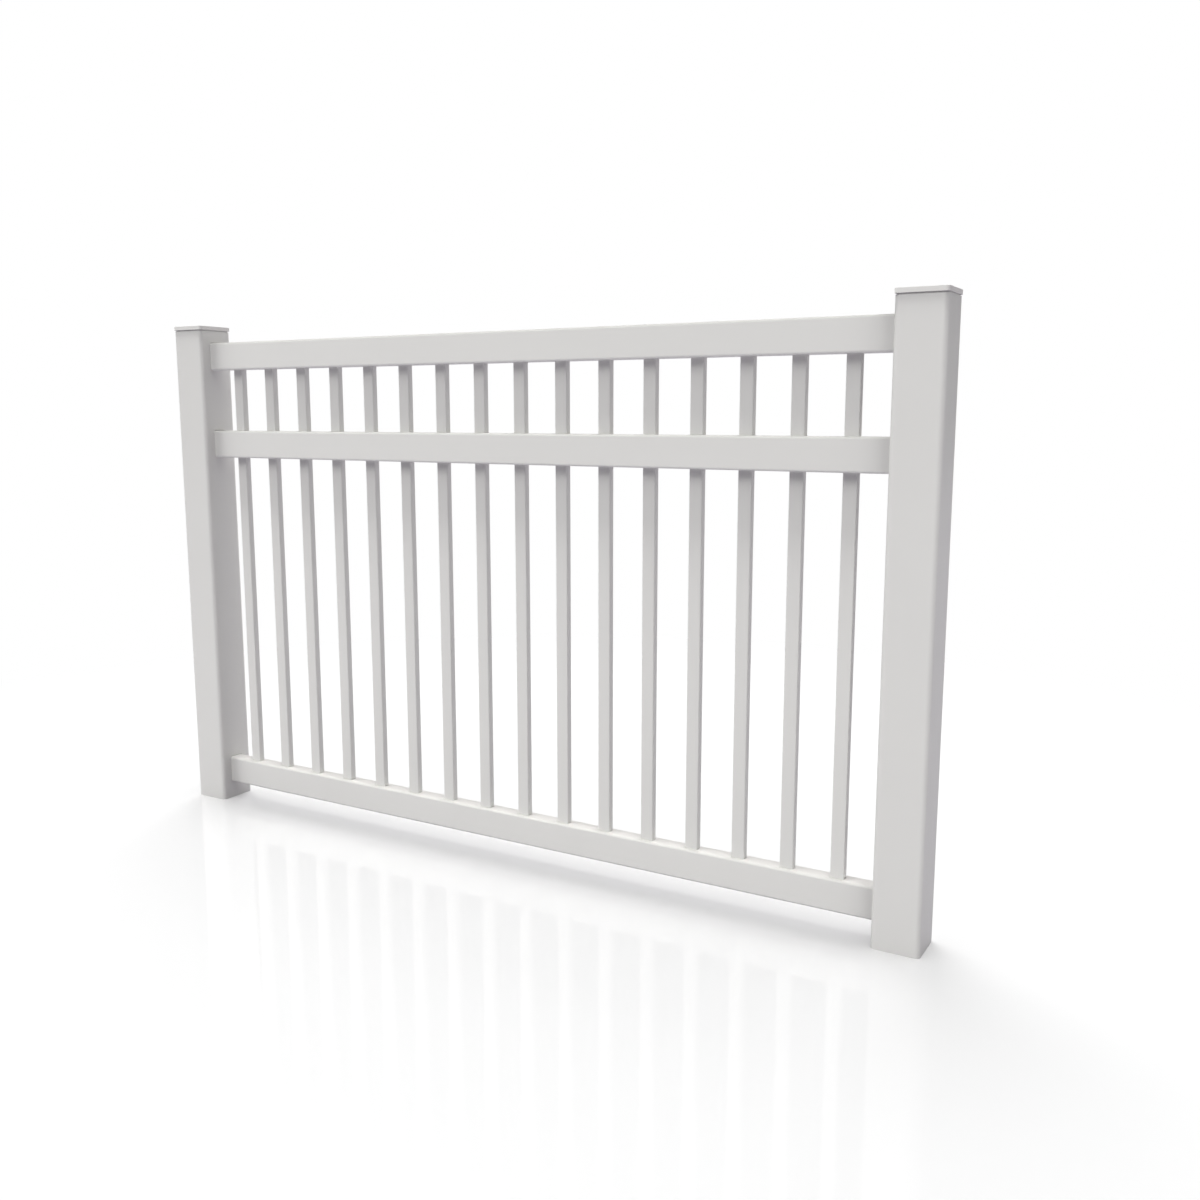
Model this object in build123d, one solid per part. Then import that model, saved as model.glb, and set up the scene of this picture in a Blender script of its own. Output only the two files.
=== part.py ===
from build123d import *
import math
import os

# One bay of a picket fence made of hollow white vinyl extrusions, in millimetres.
# +X runs along the fence from the left post to the right post, +Y points to the back, +Z is up.
# The origin is the centre of the left post's foot.

# Bay and heights
post_spacing = 2438.4
post_height = 1611.7
ground_clearance = 57.0
top_reveal = 39.6
upper_opening = 199.6

# Posts
post_width = 127.0
post_wall = 3.8
post_corner_radius = 12.4

# Post caps
cap_height = 12.3
cap_overhang = 1.5
cap_corner_radius = 10.0
cap_edge_chamfer = 0.8
cap_skin = 3.0
cap_neck_height = 3.0
cap_neck_inset = 2.8
cap_skirt_depth = 25.0
cap_skirt_wall = 2.2
cap_clearance = 0.4

# Rails
rail_depth = 50.8
rail_height = 88.9
rail_wall = 2.3
rail_corner_radius = 7.0
rail_insertion = 38.1
rail_clearance = 0.8

# Pickets
picket_count = 16
picket_width = 38.1
picket_depth = 22.2
picket_wall = 1.5
picket_corner_radius = 3.6
picket_clearance = 0.8
picket_head_room = 12.0
end_gap = 88.9

# Weep holes under the bottom rail
weep_hole_count = 4
weep_hole_diameter = 6.4

# The least inner radius that an extrusion keeps in its corners
least_inner_radius = 0.5

# How far a routing cutter overruns each face of the wall that it goes through
cutter_overrun = 3.0

# Worked out from the sizes above
clear_bay = post_spacing - post_width
post_centres = {"post_left": 0.0, "post_right": post_spacing}
into_bay = {"post_left": 1, "post_right": -1}
rail_length = clear_bay + 2 * rail_insertion
rail_start = post_width / 2 - rail_insertion
bottom_rail_base = ground_clearance
top_rail_base = post_height - top_reveal - rail_height
mid_rail_base = top_rail_base - upper_opening - rail_height
picket_pitch = (clear_bay - 2 * end_gap - picket_width) / (picket_count - 1)
first_picket = post_width / 2 + end_gap + picket_width / 2
picket_centres = [first_picket + number * picket_pitch for number in range(picket_count)]
# The straight cut across each corner of a picket's hole touches the round corner that clears the picket
hole_corner_cut = (picket_corner_radius + picket_clearance) * (2 - math.sqrt(2))
picket_foot = bottom_rail_base + rail_wall
picket_head = top_rail_base + rail_height - rail_wall - picket_head_room
post_bore_width = post_width - 2 * post_wall
post_bore_radius = max(post_corner_radius - post_wall, least_inner_radius)


def tube_section(width, depth, corner_radius, wall):
    """The section of a hollow extrusion: a rounded outline with an even wall."""
    inner_radius = max(corner_radius - wall, least_inner_radius)
    outer = RectangleRounded(width, depth, corner_radius)
    inner = RectangleRounded(width - 2 * wall, depth - 2 * wall, inner_radius)
    return outer - inner


def rail_pocket(post_name, rail_base):
    """The cutter for a pocket in a post's inner face, on whose lower edge a rail lies."""
    opening = RectangleRounded(
        rail_depth + 2 * rail_clearance,
        rail_height + 2 * rail_clearance,
        rail_corner_radius + rail_clearance,
    )
    side = into_bay[post_name]
    wall_middle = post_centres[post_name] + side * (post_width - post_wall) / 2
    pocket_middle = rail_base + rail_clearance + rail_height / 2
    cutter = extrude(Plane.YZ * opening, post_wall / 2 + cutter_overrun, both=True)
    return Pos(wall_middle, 0, pocket_middle) * cutter


def build_post(post_name):
    """A square post, open at its foot and top, with pockets for the three rails."""
    section = tube_section(post_width, post_width, post_corner_radius, post_wall)
    post = Pos(post_centres[post_name], 0, 0) * extrude(section, post_height)
    for rail_base in (bottom_rail_base, mid_rail_base, top_rail_base):
        post -= rail_pocket(post_name, rail_base)
    return post


def build_cap(post_name):
    """A flat cap on a neck that stands on the post's top edge, with a skirt in the post's bore."""
    plate_width = post_width + 2 * cap_overhang
    plate = extrude(RectangleRounded(plate_width, plate_width, cap_corner_radius), cap_height)
    plate = chamfer(plate.edges().group_by(Axis.Z)[-1], cap_edge_chamfer)
    neck_width = post_width - 2 * cap_neck_inset
    neck_radius = max(post_corner_radius - cap_neck_inset, least_inner_radius)
    neck = extrude(RectangleRounded(neck_width, neck_width, neck_radius), -cap_neck_height)
    skirt_width = post_bore_width - 2 * cap_clearance
    skirt_outline = RectangleRounded(skirt_width, skirt_width, post_bore_radius - cap_clearance)
    skirt_foot = -cap_neck_height - cap_skirt_depth
    skirt = extrude(skirt_outline, skirt_foot)
    hollow_outline = offset(skirt_outline, -cap_skirt_wall)
    hollow = extrude(hollow_outline, cap_height - cap_skin - skirt_foot)
    cap = plate + neck + skirt - Pos(0, 0, skirt_foot) * hollow
    return Pos(post_centres[post_name], 0, post_height + cap_neck_height) * cap


def picket_holes(wall_middle_height):
    """The cutter for one row of routed picket holes, through the rail wall at this height."""
    hole = Rectangle(picket_width + 2 * picket_clearance, picket_depth + 2 * picket_clearance)
    hole = chamfer(hole.vertices(), hole_corner_cut)
    row = Sketch() + [Pos(centre, 0) * hole for centre in picket_centres]
    cutter = extrude(row, rail_wall / 2 + cutter_overrun, both=True)
    return Pos(0, 0, wall_middle_height) * cutter


def build_rail(rail_base, routed_below, routed_above):
    """A hollow rail between the posts, routed for the pickets in its lower or upper wall."""
    section = tube_section(rail_depth, rail_height, rail_corner_radius, rail_wall)
    tube = extrude(Plane.YZ * section, rail_length)
    rail = Pos(rail_start, 0, rail_base + rail_height / 2) * tube
    if routed_below:
        rail -= picket_holes(rail_base + rail_wall / 2)
    if routed_above:
        rail -= picket_holes(rail_base + rail_height - rail_wall / 2)
    return rail


def weep_holes():
    """The cutter for the drain holes in the bottom rail's underside, midway between pickets."""
    pickets_apart = (picket_count - 1) / (weep_hole_count + 1)
    bays = [round(pickets_apart * number) for number in range(1, weep_hole_count + 1)]
    row = Sketch() + [
        Pos(picket_centres[bay] - picket_pitch / 2, 0) * Circle(weep_hole_diameter / 2)
        for bay in bays
    ]
    cutter = extrude(row, rail_wall / 2 + cutter_overrun, both=True)
    return Pos(0, 0, bottom_rail_base + rail_wall / 2) * cutter


def build_picket(centre):
    """A picket that stands on the bottom rail's floor and ends inside the top rail."""
    section = tube_section(picket_width, picket_depth, picket_corner_radius, picket_wall)
    return Pos(centre, 0, picket_foot) * extrude(section, picket_head - picket_foot)


def build_panel():
    """Every piece of the panel by name."""
    pieces = {}
    for post_name in post_centres:
        pieces[post_name] = build_post(post_name)
        pieces[post_name.replace("post", "cap")] = build_cap(post_name)
    pieces["bottom_rail"] = build_rail(bottom_rail_base, False, True) - weep_holes()
    pieces["mid_rail"] = build_rail(mid_rail_base, True, True)
    pieces["top_rail"] = build_rail(top_rail_base, True, False)
    for number, centre in enumerate(picket_centres, start=1):
        pieces[f"picket_{number:02d}"] = build_picket(centre)
    return pieces


os.makedirs("parts", exist_ok=True)
for name, piece in build_panel().items():
    piece.label = name
    export_step(piece, f"parts/{name}.step")
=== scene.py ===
"""Looks of a white vinyl picket fence panel: finishes, moulded caps, routed rails, and a plain studio."""

from __future__ import annotations

import logging
import math
from dataclasses import dataclass
from enum import Enum
from typing import Any, Iterable

import bmesh
import bpy
from mathutils import Matrix, Vector

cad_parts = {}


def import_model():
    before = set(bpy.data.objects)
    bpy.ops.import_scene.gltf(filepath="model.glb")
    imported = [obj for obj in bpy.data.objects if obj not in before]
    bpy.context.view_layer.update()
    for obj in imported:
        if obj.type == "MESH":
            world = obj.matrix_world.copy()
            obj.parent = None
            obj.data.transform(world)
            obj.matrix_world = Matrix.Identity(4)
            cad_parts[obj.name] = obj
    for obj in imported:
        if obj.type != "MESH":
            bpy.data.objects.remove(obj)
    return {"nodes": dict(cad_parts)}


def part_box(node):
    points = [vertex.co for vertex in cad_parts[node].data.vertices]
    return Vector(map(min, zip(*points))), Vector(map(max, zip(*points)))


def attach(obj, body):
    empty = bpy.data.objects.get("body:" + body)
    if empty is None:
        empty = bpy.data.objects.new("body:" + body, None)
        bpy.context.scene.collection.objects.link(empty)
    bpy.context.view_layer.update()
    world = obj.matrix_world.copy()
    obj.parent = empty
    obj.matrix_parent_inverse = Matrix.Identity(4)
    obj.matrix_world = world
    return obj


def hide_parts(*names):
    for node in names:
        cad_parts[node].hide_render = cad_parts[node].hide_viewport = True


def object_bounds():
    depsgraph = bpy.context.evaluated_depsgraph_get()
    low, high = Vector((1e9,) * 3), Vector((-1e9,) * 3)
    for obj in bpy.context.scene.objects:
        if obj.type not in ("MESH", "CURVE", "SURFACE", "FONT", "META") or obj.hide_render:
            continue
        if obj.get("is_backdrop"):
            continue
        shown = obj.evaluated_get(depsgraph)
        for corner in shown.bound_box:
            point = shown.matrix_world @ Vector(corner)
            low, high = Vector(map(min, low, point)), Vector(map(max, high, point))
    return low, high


log = logging.getLogger("fence_panel")

MM = 0.001
BODY = "root"

# Points closer than this are one point
MERGE_DISTANCE = 0.001 * MM
# A face belongs to a flat surface if it is this near its level, and its normal this near in direction
LEVEL_TOLERANCE = 0.01 * MM
SAME_DIRECTION = 0.999
# Faces that meet at more than this angle, in degrees, keep a sharp edge
SHARP_ANGLE = 35.0
# How strongly the large faces set the shading of the rounded edges beside them, in percent
LARGE_FACE_WEIGHT = 100
# The value about which a noise pattern swings
NOISE_MIDDLE = 0.5

# Tints of the lamps: the first two even out the slightly purple light that the floor throws back,
# and the third is for surfaces that face up and so get none of it
KEY_TINT = (0.99, 1.0, 0.967)
SIDE_TINT = (1.0, 1.0, 0.98)
TOP_TINT = (1.0, 0.97, 0.97)


class Run(Enum):
    """The direction in which an extrusion left its die."""

    ALONG_FENCE = "x"
    UPRIGHT = "z"


class Wall(Enum):
    """A flat wall of a rail, by the side that it faces."""

    UPPER = 1
    LOWER = -1


class Value:
    """A number socket of a shader, on which Python's operators add Math nodes."""

    def __init__(self, sheet: "ShaderSheet", socket: bpy.types.NodeSocket) -> None:
        """Wrap a socket.

        Args:
            sheet: The sheet that new nodes are added to.
            socket: An output that carries a number.
        """
        self.sheet = sheet
        self.socket = socket

    def _math(self, operation: str, *terms: "Value | float") -> "Value":
        """Add one Math node.

        Args:
            operation: The node's operation.
            terms: Its inputs, in order.

        Returns:
            The node's result.
        """
        node = self.sheet.node("ShaderNodeMath", {"operation": operation}, dict(enumerate(terms)))
        return Value(self.sheet, node.outputs[0])

    def __add__(self, other: "Value | float") -> "Value":
        """Sum of two values."""
        return self._math("ADD", self, other)

    __radd__ = __add__

    def __sub__(self, other: "Value | float") -> "Value":
        """Difference of two values."""
        return self._math("SUBTRACT", self, other)

    def __rsub__(self, other: float) -> "Value":
        """A plain number less this value."""
        return self._math("SUBTRACT", other, self)

    def __mul__(self, other: "Value | float") -> "Value":
        """Product of two values."""
        return self._math("MULTIPLY", self, other)

    __rmul__ = __mul__


class ShaderSheet:
    """The node tree of one material or world."""

    def __init__(self, owner: bpy.types.Material | bpy.types.World) -> None:
        """Empty the owner's node tree and keep hold of it.

        Args:
            owner: The material or world whose nodes are made.
        """
        owner.use_nodes = True
        self.tree = owner.node_tree
        self.tree.nodes.clear()

    def node(self, kind: str, settings: dict[str, Any], inputs: dict[Any, Any]) -> bpy.types.Node:
        """Add one node.

        Args:
            kind: The node's type.
            settings: Its properties, set before its inputs.
            inputs: Plain values, Value objects or output sockets, by input name or number.

        Returns:
            The new node.
        """
        made = self.tree.nodes.new(kind)
        for name, value in settings.items():
            setattr(made, name, value)
        for name, value in inputs.items():
            source = value.socket if isinstance(value, Value) else value
            if isinstance(source, bpy.types.NodeSocket):
                self.tree.links.new(source, made.inputs[name])
            else:
                made.inputs[name].default_value = source
        return made


def rgb(red: int, green: int, blue: int) -> tuple[float, float, float, float]:
    """A colour as shaders take it.

    Args:
        red: Red as displayed, 0 to 255.
        green: Green as displayed.
        blue: Blue as displayed.

    Returns:
        The same colour in linear light, with full alpha.
    """
    channels = []
    for shown in (red, green, blue):
        # The display's curve has a short straight foot and then a power
        share = shown / 255
        channels.append(share / 12.92 if share <= 0.04045 else ((share + 0.055) / 1.055) ** 2.4)
    return (*channels, 1.0)


@dataclass(frozen=True)
class VinylFinish:
    """Smooth white vinyl with the faint lines of its die and a slight unevenness of its walls."""

    name: str
    run: Run | None
    colour: tuple[float, float, float, float] = rgb(231, 230, 228)
    clouded_colour: tuple[float, float, float, float] = rgb(227, 226, 224)
    roughness: float = 0.36
    roughness_swing: float = 0.07
    refraction: float = 1.53
    cloud_width: float = 0.35
    cloud_detail: float = 3.0
    die_line_width: float = 0.0016
    die_line_length: float = 0.9
    die_line_height: float = 0.000012
    die_line_detail: float = 2.0
    wave_width: float = 0.11
    wave_height: float = 0.00012
    wave_detail: float = 1.0
    grain_width: float = 0.0009
    grain_height: float = 0.00002

    def build(self) -> bpy.types.Material:
        """Make the material.

        Returns:
            A material that reads only Object coordinates.
        """
        material = bpy.data.materials.new(self.name)
        sheet = ShaderSheet(material)
        place = sheet.node("ShaderNodeTexCoord", {}, {}).outputs["Object"]
        clouds = self._noise(sheet, place, (1 / self.cloud_width,) * 3, self.cloud_detail)
        lines = self._noise(sheet, place, self._line_scale(), self.die_line_detail)
        waves = self._noise(sheet, place, (1 / self.wave_width,) * 3, self.wave_detail)
        colour = sheet.node(
            "ShaderNodeMix",
            {"data_type": "RGBA", "clamp_factor": True},
            {"Factor": clouds, "A": self.colour, "B": self.clouded_colour},
        )
        roughness = self.roughness + self.roughness_swing * (lines - NOISE_MIDDLE)
        relief = lines * self._fine_height() + waves * self.wave_height
        bump = sheet.node("ShaderNodeBump", {}, {"Strength": 1.0, "Distance": 1.0, "Height": relief})
        shader = sheet.node(
            "ShaderNodeBsdfPrincipled",
            {},
            {
                "Base Color": colour.outputs["Result"],
                "Roughness": roughness,
                "IOR": self.refraction,
                "Normal": bump.outputs["Normal"],
            },
        )
        sheet.node("ShaderNodeOutputMaterial", {}, {"Surface": shader.outputs["BSDF"]})
        return material

    def _fine_height(self) -> float:
        """The height of the die lines, or of the mould's grain on a piece that has no run."""
        return self.grain_height if self.run is None else self.die_line_height

    def _line_scale(self) -> tuple[float, float, float]:
        """Noise scales along X, Y and Z: fine across the run and long along it, or an even grain."""
        across = 1 / self.die_line_width
        along = 1 / self.die_line_length
        if self.run is Run.ALONG_FENCE:
            return (along, across, across)
        if self.run is Run.UPRIGHT:
            return (across, across, along)
        return (1 / self.grain_width,) * 3

    @staticmethod
    def _noise(
        sheet: ShaderSheet,
        place: bpy.types.NodeSocket,
        scale: tuple[float, float, float],
        detail: float,
    ) -> Value:
        """Add a noise pattern.

        Args:
            sheet: The sheet that it is added to.
            place: The coordinates that it reads.
            scale: How many of its cells lie in a metre, along each axis.
            detail: How many finer layers it has.

        Returns:
            The pattern, from 0 to 1.
        """
        mapping = sheet.node("ShaderNodeMapping", {}, {"Vector": place, "Scale": scale})
        noise = sheet.node(
            "ShaderNodeTexNoise",
            {},
            {"Vector": mapping.outputs["Vector"], "Scale": 1.0, "Detail": detail, "Roughness": 0.5},
        )
        return Value(sheet, noise.outputs["Fac"])


@dataclass(frozen=True)
class FloorFinish:
    """A glossy white studio floor that runs out into plain white."""

    centre: tuple[float, float, float]
    name: str = "studio_floor"
    colour: tuple[float, float, float, float] = rgb(250, 250, 250)
    bounce_colour: tuple[float, float, float, float] = rgb(191, 188, 195)
    gloss_roughness: float = 0.03
    refraction: float = 1.45
    inner_radius: float = 2.2
    outer_radius: float = 3.6

    def build(self) -> bpy.types.Material:
        """Make the material.

        Returns:
            A material that the camera sees as white with shadows and reflections.
        """
        material = bpy.data.materials.new(self.name)
        sheet = ShaderSheet(material)
        seen = sheet.node("ShaderNodeLightPath", {}, {}).outputs["Is Camera Ray"]
        dim = sheet.node("ShaderNodeBsdfDiffuse", {}, {"Color": self.bounce_colour})
        floor = sheet.node(
            "ShaderNodeMixShader",
            {},
            {0: seen, 1: dim.outputs["BSDF"], 2: self._polished(sheet)},
        )
        white = sheet.node("ShaderNodeEmission", {}, {"Color": rgb(255, 255, 255), "Strength": 1.0})
        mixed = sheet.node(
            "ShaderNodeMixShader",
            {},
            {
                0: self._fade(sheet) * Value(sheet, seen),
                1: floor.outputs["Shader"],
                2: white.outputs["Emission"],
            },
        )
        sheet.node("ShaderNodeOutputMaterial", {}, {"Surface": mixed.outputs["Shader"]})
        return material

    def _polished(self, sheet: ShaderSheet) -> bpy.types.NodeSocket:
        """The white floor with a polish laid over it.

        Args:
            sheet: The sheet that it is added to.

        Returns:
            The shader's output.
        """
        white = sheet.node("ShaderNodeBsdfDiffuse", {}, {"Color": self.colour})
        gloss = sheet.node(
            "ShaderNodeBsdfAnisotropic",
            {},
            {"Color": rgb(255, 255, 255), "Roughness": self.gloss_roughness},
        )
        bend = sheet.node("ShaderNodeFresnel", {}, {"IOR": self.refraction})
        polish = sheet.node(
            "ShaderNodeMixShader", {}, {0: bend.outputs["Fac"], 2: gloss.outputs["BSDF"]}
        )
        both = sheet.node(
            "ShaderNodeAddShader", {}, {0: white.outputs["BSDF"], 1: polish.outputs["Shader"]}
        )
        return both.outputs["Shader"]

    def _fade(self, sheet: ShaderSheet) -> Value:
        """How far the floor has turned to white, from 0 by the fence to 1 away from it.

        Args:
            sheet: The sheet that it is added to.

        Returns:
            The factor.
        """
        place = sheet.node("ShaderNodeTexCoord", {}, {}).outputs["Object"]
        distance = sheet.node(
            "ShaderNodeVectorMath", {"operation": "DISTANCE"}, {0: place, 1: self.centre}
        )
        fade = sheet.node(
            "ShaderNodeMapRange",
            {"interpolation_type": "SMOOTHSTEP"},
            {
                "Value": distance.outputs["Value"],
                "From Min": self.inner_radius,
                "From Max": self.outer_radius,
            },
        )
        return Value(sheet, fade.outputs["Result"])


class Blank:
    """A mesh in the making, shaped with mesh operators."""

    def __init__(self) -> None:
        """Start with nothing."""
        self.mesh = bmesh.new()

    def rounded_face(
        self, size: tuple[float, float], radius: float, segments: int, place: Matrix
    ) -> bmesh.types.BMFace:
        """Add a flat face with round corners.

        Args:
            size: Its width and height.
            radius: The radius of its corners.
            segments: How many straight pieces each corner has.
            place: Where its middle, width, height and normal lie.

        Returns:
            The face.
        """
        before = set(self.mesh.faces)
        # A square with sides of 1, stretched to its width and height
        stretch = Matrix.Diagonal((size[0], size[1], 1.0, 1.0))
        square = bmesh.ops.create_grid(
            self.mesh, x_segments=1, y_segments=1, size=0.5, matrix=place @ stretch
        )
        bmesh.ops.bevel(
            self.mesh,
            geom=square["verts"],
            offset=radius,
            offset_type="OFFSET",
            segments=segments,
            profile=0.5,
            affect="VERTICES",
            material=-1,
        )
        (face,) = set(self.mesh.faces) - before
        return face

    def rounded_loop(
        self, size: tuple[float, float], radius: float, segments: int, place: Matrix
    ) -> list[bmesh.types.BMEdge]:
        """Add the outline of a rounded face, without the face.

        Args:
            size: Its width and height.
            radius: The radius of its corners.
            segments: How many straight pieces each corner has.
            place: Where its middle, width, height and normal lie.

        Returns:
            The outline's edges.
        """
        return self.open_face(self.rounded_face(size, radius, segments, place))

    def open_face(self, face: bmesh.types.BMFace) -> list[bmesh.types.BMEdge]:
        """Take a face away and leave its outline.

        Args:
            face: The face.

        Returns:
            The outline's edges.
        """
        outline = list(face.edges)
        bmesh.ops.delete(self.mesh, geom=[face], context="FACES_ONLY")
        return outline

    def extrude(self, faces: list[bmesh.types.BMFace], run: Vector) -> None:
        """Draw faces out into a closed prism.

        Args:
            faces: The faces of one flat end.
            run: How far, and in which direction.
        """
        drawn = bmesh.ops.extrude_face_region(self.mesh, geom=faces)
        moved = [item for item in drawn["geom"] if isinstance(item, bmesh.types.BMVert)]
        bmesh.ops.translate(self.mesh, verts=moved, vec=run)
        self.face_outwards()

    def draw_loop(self, loop: list[bmesh.types.BMEdge], run: Vector) -> list[bmesh.types.BMEdge]:
        """Draw an outline out into an open wall.

        Args:
            loop: The outline's edges.
            run: How far, and in which direction.

        Returns:
            The edges of the wall's far rim.
        """
        drawn = bmesh.ops.extrude_edge_only(self.mesh, edges=loop)
        moved = [item for item in drawn["geom"] if isinstance(item, bmesh.types.BMVert)]
        bmesh.ops.translate(self.mesh, verts=moved, vec=run)
        return [item for item in drawn["geom"] if isinstance(item, bmesh.types.BMEdge)]

    def fill(self, edges: list[bmesh.types.BMEdge], normal: Vector) -> None:
        """Fill the flat surface between an outline and the outlines of its holes.

        Args:
            edges: All their edges.
            normal: The surface's normal.
        """
        bmesh.ops.triangle_fill(
            self.mesh, edges=edges, use_beauty=True, use_dissolve=False, normal=normal
        )

    def bridge(self, first: list[bmesh.types.BMEdge], second: list[bmesh.types.BMEdge]) -> None:
        """Join two outlines by a wall."""
        bmesh.ops.bridge_loops(self.mesh, edges=first + second)

    def soften(self, edges: list[bmesh.types.BMEdge], width: float, segments: int) -> None:
        """Round edges over.

        Args:
            edges: The edges.
            width: The radius of the rounding.
            segments: How many flat strips it has.
        """
        bmesh.ops.bevel(
            self.mesh,
            geom=edges,
            offset=width,
            offset_type="OFFSET",
            segments=segments,
            profile=0.5,
            affect="EDGES",
            material=-1,
        )

    def flat_face(self, normal: Vector, level: float) -> bmesh.types.BMFace:
        """Find the largest flat face with this normal at this level.

        Args:
            normal: The face's normal, along an axis.
            level: Where the face lies along the normal's axis.

        Returns:
            The face.
        """
        axis = max(range(3), key=lambda number: abs(normal[number]))
        found = [
            face
            for face in self.mesh.faces
            if face.normal.dot(normal) > SAME_DIRECTION
            and abs(face.calc_center_median()[axis] - level) < LEVEL_TOLERANCE
        ]
        return max(found, key=lambda face: face.calc_area())

    def face_outwards(self) -> None:
        """Point every face away from the solid."""
        bmesh.ops.recalc_face_normals(self.mesh, faces=self.mesh.faces)

    def finish(self, name: str, material: bpy.types.Material) -> bpy.types.Object:
        """Turn the mesh into an object in the scene, smooth across its rounded edges.

        Args:
            name: The object's name.
            material: Its material.

        Returns:
            The object, at the origin.
        """
        bmesh.ops.remove_doubles(self.mesh, verts=self.mesh.verts, dist=MERGE_DISTANCE)
        self.face_outwards()
        data = bpy.data.meshes.new(name)
        self.mesh.to_mesh(data)
        self.mesh.free()
        data.materials.append(material)
        data.shade_smooth()
        data.set_sharp_from_angle(angle=math.radians(SHARP_ANGLE))
        piece = bpy.data.objects.new(name, data)
        bpy.context.scene.collection.objects.link(piece)
        weighting = piece.modifiers.new("even_shading", "WEIGHTED_NORMAL")
        weighting.keep_sharp = True
        weighting.weight = LARGE_FACE_WEIGHT
        return piece


def stand_in_for(piece: bpy.types.Object, node: str) -> None:
    """Let a modelled piece take a node's place.

    Args:
        piece: The modelled piece.
        node: The node that it replaces.
    """
    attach(piece, BODY)
    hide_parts(node)
    log.info("%s: modelled, %d faces", node, len(piece.data.polygons))


@dataclass
class Extrusions:
    """Pieces whose form is complete as it comes: posts and pickets."""

    nodes: dict[str, bpy.types.Object]
    prefix: str
    finish: VinylFinish

    def dress(self) -> None:
        """Give every piece its finish."""
        material = self.finish.build()
        for name in sorted(self.nodes):
            if name.startswith(self.prefix):
                for slot in self.nodes[name].material_slots:
                    slot.material = material
                log.info("%s: dressed in %s", name, material.name)


@dataclass
class Cap:
    """A flat moulded cap with soft edges, on a neck and with a skirt in the post's bore."""

    node: str
    post: str
    finish: bpy.types.Material
    overhang: float = 1.5 * MM
    corner_radius: float = 10.0 * MM
    skin: float = 3.0 * MM
    neck_height: float = 3.0 * MM
    neck_inset: float = 2.8 * MM
    skirt_wall: float = 2.2 * MM
    skirt_clearance: float = 0.4 * MM
    post_wall: float = 3.8 * MM
    post_radius: float = 12.4 * MM
    top_edge: float = 1.2 * MM
    lower_edge: float = 0.7 * MM
    corner_segments: int = 10
    edge_segments: int = 3

    def build(self) -> bpy.types.Object:
        """Model the cap from its box.

        Returns:
            The finished piece.
        """
        low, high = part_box(self.node)
        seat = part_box(self.post)[1].z
        shelf = seat + self.neck_height
        middle = (low + high) / 2
        width = high.y - low.y
        post_width = width - 2 * self.overhang
        neck = post_width - 2 * self.neck_inset
        bore_step = self.post_wall + self.skirt_clearance
        skirt = post_width - 2 * bore_step
        skirt_radius = self.post_radius - bore_step
        hollow = skirt - 2 * self.skirt_wall
        blank = Blank()
        place = Matrix.Translation((middle.x, middle.y, shelf))
        plate = blank.rounded_face((width, width), self.corner_radius, self.corner_segments, place)
        blank.extrude([plate], Vector((0, 0, high.z - shelf)))
        top = blank.flat_face(Vector((0, 0, 1)), high.z)
        blank.soften(list(top.edges), self.top_edge, self.edge_segments)
        underside = blank.flat_face(Vector((0, 0, -1)), shelf)
        blank.soften(list(underside.edges), self.lower_edge, self.edge_segments)
        rim = blank.open_face(blank.flat_face(Vector((0, 0, -1)), shelf))
        neck_top = self._outline(blank, neck, self.post_radius - self.neck_inset, middle, shelf)
        blank.fill(rim + neck_top, Vector((0, 0, -1)))
        neck_foot = blank.draw_loop(neck_top, Vector((0, 0, seat - shelf)))
        root = self._outline(blank, skirt, skirt_radius, middle, seat)
        blank.bridge(neck_foot, root)
        foot = blank.draw_loop(root, Vector((0, 0, low.z - seat)))
        inner_foot = self._outline(blank, hollow, skirt_radius - self.skirt_wall, middle, low.z)
        blank.bridge(foot, inner_foot)
        ceiling = blank.draw_loop(inner_foot, Vector((0, 0, high.z - self.skin - low.z)))
        blank.fill(ceiling, Vector((0, 0, -1)))
        piece = blank.finish(f"{self.node}_moulding", self.finish)
        stand_in_for(piece, self.node)
        return piece

    def _outline(
        self,
        blank: Blank,
        width: float,
        radius: float,
        middle: Vector,
        level: float,
    ) -> list[bmesh.types.BMEdge]:
        """Add a level square outline with round corners.

        Args:
            blank: The mesh in the making.
            width: The square's width.
            radius: The radius of its corners.
            middle: The middle of the cap.
            level: The outline's height.

        Returns:
            The outline's edges.
        """
        place = Matrix.Translation((middle.x, middle.y, level))
        return blank.rounded_loop((width, width), radius, self.corner_segments, place)


@dataclass(frozen=True)
class Hole:
    """A hole through a level wall, with round corners."""

    place: float
    width: float
    depth: float
    radius: float


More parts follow.
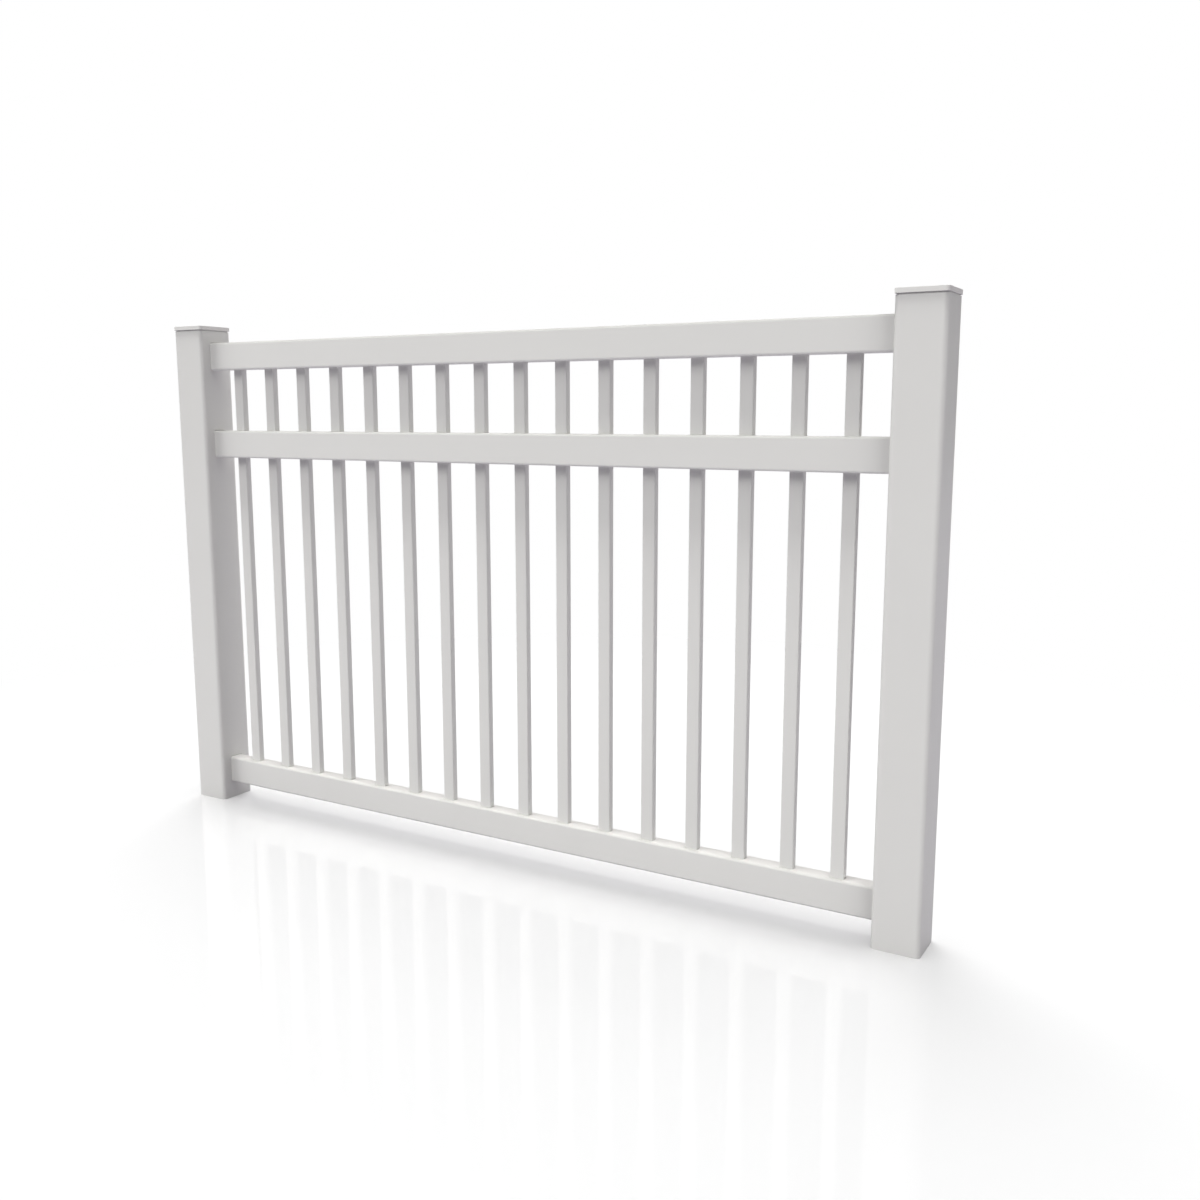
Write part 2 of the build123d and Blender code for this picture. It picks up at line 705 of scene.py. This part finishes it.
@dataclass
class Rail:
    """A hollow rail with rounded edges, routed for the pickets with the picket's own round corners."""

    node: str
    routed: tuple[Wall, ...]
    pickets: list[str]
    finish: bpy.types.Material
    wall: float = 2.3 * MM
    corner_radius: float = 7.0 * MM
    picket_radius: float = 3.6 * MM
    picket_clearance: float = 0.8 * MM
    drained_bays: tuple[int, ...] = ()
    weep_hole_radius: float = 3.2 * MM
    roundness: float = 0.999
    corner_segments: int = 8
    hole_segments: int = 5

    def build(self) -> bpy.types.Object:
        """Model the rail from its box and the pickets' boxes.

        Returns:
            The finished piece.
        """
        low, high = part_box(self.node)
        depth = high.y - low.y
        height = high.z - low.z
        middle = (low + high) / 2
        # The section's width lies along Y, its height along Z, and it faces along the fence
        end = Matrix(((0, 0, 1, low.x), (1, 0, 0, middle.y), (0, 1, 0, middle.z), (0, 0, 0, 1)))
        blank = Blank()
        section = blank.rounded_face((depth, height), self.corner_radius, self.corner_segments, end)
        inset = bmesh.ops.inset_region(
            blank.mesh, faces=[section], thickness=self.wall, use_even_offset=True, use_boundary=True
        )
        blank.open_face(section)
        blank.extrude(inset["faces"], Vector((high.x - low.x, 0, 0)))
        for side in Wall:
            outer = high.z if side is Wall.UPPER else low.z
            inner = outer - side.value * self.wall
            holes = self._holes(side)
            if holes:
                self._route(blank, side, outer, inner, holes)
        piece = blank.finish(f"{self.node}_routed", self.finish)
        stand_in_for(piece, self.node)
        return piece

    def _holes(self, side: Wall) -> list[Hole]:
        """The holes in one wall.

        Args:
            side: The wall.

        Returns:
            The pickets' holes, if the wall is routed, and the drain holes, if it is the lower one.
        """
        holes = []
        if side in self.routed:
            holes += [self._picket_hole(picket) for picket in self.pickets]
        if side is Wall.LOWER:
            holes += [self._weep_hole(bay) for bay in self.drained_bays]
        return holes

    def _picket_hole(self, picket: str) -> Hole:
        """The hole that a picket goes through.

        Args:
            picket: The picket's node.

        Returns:
            The picket's own outline with the clearance round it.
        """
        low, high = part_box(picket)
        return Hole(
            (low.x + high.x) / 2,
            high.x - low.x + 2 * self.picket_clearance,
            high.y - low.y + 2 * self.picket_clearance,
            self.picket_radius + self.picket_clearance,
        )

    def _weep_hole(self, bay: int) -> Hole:
        """The drain hole midway between two pickets.

        Args:
            bay: Which gap between pickets it is in, where 1 is the first from the left.

        Returns:
            A hole that is round but for a sliver of straight side, which keeps its corners apart.
        """
        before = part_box(self.pickets[bay - 1])[1].x
        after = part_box(self.pickets[bay])[0].x
        width = 2 * self.weep_hole_radius
        return Hole((before + after) / 2, width, width, self.roundness * self.weep_hole_radius)

    def _route(
        self,
        blank: Blank,
        side: Wall,
        outer: float,
        inner: float,
        holes: list[Hole],
    ) -> None:
        """Cut holes through one wall.

        Args:
            blank: The mesh in the making.
            side: The wall.
            outer: The height of the wall's outer face.
            inner: The height of its inner face.
            holes: The holes.
        """
        outwards = Vector((0, 0, side.value))
        rims = []
        for level, normal in ((outer, outwards), (inner, -outwards)):
            outline = blank.open_face(blank.flat_face(normal, level))
            loops = [
                blank.rounded_loop(
                    (hole.width, hole.depth),
                    hole.radius,
                    self.hole_segments,
                    Matrix.Translation((hole.place, 0, level)),
                )
                for hole in holes
            ]
            blank.fill(outline + [edge for loop in loops for edge in loop], normal)
            rims.append(loops)
        for outer_rim, inner_rim in zip(*rims):
            blank.bridge(outer_rim, inner_rim)
        blank.face_outwards()


class Lit(Enum):
    """What a studio light falls on."""

    UPRIGHTS = "posts and pickets"
    RAILS = "rails"
    BOTTOM_RAIL = "bottom rail"
    CAPS = "caps"
    FLOOR = "floor"


@dataclass
class SoftLight:
    """A broad, distant studio light for one kind of pieces, or for the floor.

    It shines from its azimuth, where 0 is the front and 90 the right, and its elevation, both in
    degrees, and looks as wide as its spread, also in degrees.
    """

    name: str
    lit: Lit
    azimuth: float
    elevation: float
    spread: float
    strength: float
    tint: tuple[float, float, float] = (1.0, 1.0, 1.0)

    def build(self, receivers: bpy.types.Collection) -> bpy.types.Object:
        """Hang the light.

        Args:
            receivers: The objects that it falls on.

        Returns:
            The light.
        """
        data = bpy.data.lights.new(self.name, "SUN")
        data.angle = math.radians(self.spread)
        data.energy = self.strength
        data.color = self.tint
        lamp = bpy.data.objects.new(self.name, data)
        around, up = math.radians(self.azimuth), math.radians(self.elevation)
        level = math.cos(up)
        source = Vector((math.sin(around) * level, -math.cos(around) * level, math.sin(up)))
        lamp.rotation_euler = source.to_track_quat("Z", "Y").to_euler()
        lamp.visible_glossy = False
        lamp.light_linking.receiver_collection = receivers
        bpy.context.scene.collection.objects.link(lamp)
        log.info("%s: strength %.2f on the %s", self.name, self.strength, self.lit.value)
        return lamp


@dataclass
class Studio:
    """The floor, the light and the camera."""

    floor_finish: FloorFinish
    floor_reach: float = 30.0
    sky_strength: float = 0.0
    camera_position: tuple[float, float, float] = (3.17916, -2.81763, 1.33504)
    camera_turn: float = 30.04
    camera_tilt: float = -8.99
    lens: float = 35.04
    sensor: float = 36.0
    gloss_strength: float = 0.15
    lamps: tuple[SoftLight, ...] = (
        SoftLight("rail_left", Lit.RAILS, -65.0, 26.0, 60.0, 2.68, KEY_TINT),
        SoftLight("rail_right", Lit.RAILS, 65.0, 26.0, 60.0, 2.26, KEY_TINT),
        SoftLight("rail_behind", Lit.RAILS, 180.0, 52.0, 50.0, 1.8, TOP_TINT),
        SoftLight("rail_back", Lit.RAILS, 180.0, 10.0, 16.0, 0.95, KEY_TINT),
        SoftLight("rail_high", Lit.BOTTOM_RAIL, 0.0, 80.0, 60.0, 0.6, TOP_TINT),
        SoftLight("cap_left", Lit.CAPS, -30.0, 45.0, 24.0, 3.1, KEY_TINT),
        SoftLight("cap_right", Lit.CAPS, 100.0, 40.0, 40.0, 1.3, TOP_TINT),
        SoftLight("cap_back", Lit.CAPS, 180.0, 10.0, 16.0, 1.8),
        SoftLight("upright_high", Lit.UPRIGHTS, 0.0, 87.0, 5.0, 9.4, KEY_TINT),
        SoftLight("upright_left", Lit.UPRIGHTS, -40.0, 70.0, 30.0, 2.5, KEY_TINT),
        SoftLight("upright_front", Lit.UPRIGHTS, 0.0, 65.0, 40.0, 1.66, KEY_TINT),
        SoftLight("upright_right", Lit.UPRIGHTS, 115.0, 30.0, 60.0, 0.84, SIDE_TINT),
        SoftLight("upright_back", Lit.UPRIGHTS, 180.0, 10.0, 16.0, 1.8, KEY_TINT),
        SoftLight("floor_dome", Lit.FLOOR, 0.0, 90.0, 140.0, 2.15),
        SoftLight("floor_top", Lit.FLOOR, 0.0, 90.0, 60.0, 0.6),
        SoftLight("floor_back", Lit.FLOOR, -140.0, 45.0, 50.0, 0.95),
    )

    def build(self, pieces: dict[Lit, list[bpy.types.Object]]) -> None:
        """Set everything up.

        Args:
            pieces: The fence's pieces, by the lights that they are under.
        """
        scene = bpy.context.scene
        scene.view_settings.view_transform = "Standard"
        members = {**pieces, Lit.FLOOR: [self._floor()]}
        receivers = {lit: self._group(lit, items) for lit, items in members.items()}
        self._sky()
        for lamp in self.lamps:
            lamp.build(receivers[lamp.lit])
        scene.camera = self._camera()

    @staticmethod
    def _group(lit: Lit, members: list[bpy.types.Object]) -> bpy.types.Collection:
        """Gather what a light falls on.

        Args:
            lit: What the lights in question fall on.
            members: Its objects.

        Returns:
            Their collection.
        """
        group = bpy.data.collections.new(f"lit_{lit.name.lower()}")
        for member in members:
            group.objects.link(member)
        return group

    def _floor(self) -> bpy.types.Object:
        """Lay the floor under the posts' feet.

        Returns:
            The floor.
        """
        mesh = bmesh.new()
        bmesh.ops.create_grid(mesh, x_segments=1, y_segments=1, size=self.floor_reach)
        data = bpy.data.meshes.new("floor")
        mesh.to_mesh(data)
        mesh.free()
        data.materials.append(self.floor_finish.build())
        floor = bpy.data.objects.new("floor", data)
        bpy.context.scene.collection.objects.link(floor)
        floor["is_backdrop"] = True
        return floor

    def _sky(self) -> None:
        """Surround the scene with a white that lights nothing and is dim in reflections."""
        world = bpy.data.worlds.new("studio_white")
        bpy.context.scene.world = world
        sheet = ShaderSheet(world)
        ray = sheet.node("ShaderNodeLightPath", {}, {})
        seen = Value(sheet, ray.outputs["Is Camera Ray"])
        seen_through = Value(sheet, ray.outputs["Is Transmission Ray"])
        unseen = sheet.node(
            "ShaderNodeMixShader",
            {},
            {
                0: ray.outputs["Is Glossy Ray"],
                1: self._background(sheet, self.sky_strength),
                2: self._background(sheet, self.gloss_strength),
            },
        )
        sky = sheet.node(
            "ShaderNodeMixShader",
            {},
            {
                0: seen + seen_through,
                1: unseen.outputs["Shader"],
                2: self._background(sheet, 1.0),
            },
        )
        sheet.node("ShaderNodeOutputWorld", {}, {"Surface": sky.outputs["Shader"]})

    @staticmethod
    def _background(sheet: ShaderSheet, strength: float) -> bpy.types.NodeSocket:
        """Add an even white sky.

        Args:
            sheet: The sheet that it is added to.
            strength: How bright it is, where 1 is white.

        Returns:
            The shader's output.
        """
        white = rgb(255, 255, 255)
        node = sheet.node("ShaderNodeBackground", {}, {"Color": white, "Strength": strength})
        return node.outputs["Background"]

    def _camera(self) -> bpy.types.Object:
        """Place the camera where the photo was taken from.

        Returns:
            The camera.
        """
        data = bpy.data.cameras.new("camera")
        data.lens = self.lens
        data.sensor_width = self.sensor
        camera = bpy.data.objects.new("camera", data)
        camera.location = self.camera_position
        tilt = math.radians(90 + self.camera_tilt)
        camera.rotation_euler = (tilt, 0.0, math.radians(self.camera_turn))
        bpy.context.scene.collection.objects.link(camera)
        return camera


def corners(box: Iterable[Iterable[float]]) -> list[list[float]]:
    """A box as plain lists of numbers.

    Args:
        box: Its lowest and highest corners.

    Returns:
        The same corners.
    """
    return [[float(number) for number in corner] for corner in box]


def main() -> None:
    """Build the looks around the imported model."""
    logging.basicConfig(level=logging.INFO, format="%(name)s: %(message)s")
    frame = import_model()
    cad_box = corners(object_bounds())
    nodes = frame["nodes"]
    pickets = sorted(name for name in nodes if name.startswith("picket_"))

    Extrusions(nodes, "post_", VinylFinish("vinyl_drawn_upright", Run.UPRIGHT)).dress()
    Extrusions(nodes, "picket_", VinylFinish("vinyl_picket", Run.UPRIGHT)).dress()

    moulded = VinylFinish("vinyl_moulded", None).build()
    caps = [Cap(f"cap_{side}", f"post_{side}", moulded).build() for side in ("left", "right")]

    drawn = VinylFinish("vinyl_drawn_level", Run.ALONG_FENCE).build()
    rails = [
        Rail("top_rail", (Wall.LOWER,), pickets, drawn).build(),
        Rail("mid_rail", (Wall.LOWER, Wall.UPPER), pickets, drawn).build(),
        Rail("bottom_rail", (Wall.UPPER,), pickets, drawn, drained_bays=(3, 6, 9, 12)).build(),
    ]

    uprights = [nodes[name] for name in nodes if name.startswith(("post_", "picket_"))]
    low, high = cad_box
    floor_centre = ((low[0] + high[0]) / 2, (low[1] + high[1]) / 2, low[2])
    Studio(FloorFinish(floor_centre)).build(
        {Lit.UPRIGHTS: uprights, Lit.RAILS: rails, Lit.BOTTOM_RAIL: rails[-1:], Lit.CAPS: caps}
    )


if __name__ == "__main__":
    main()
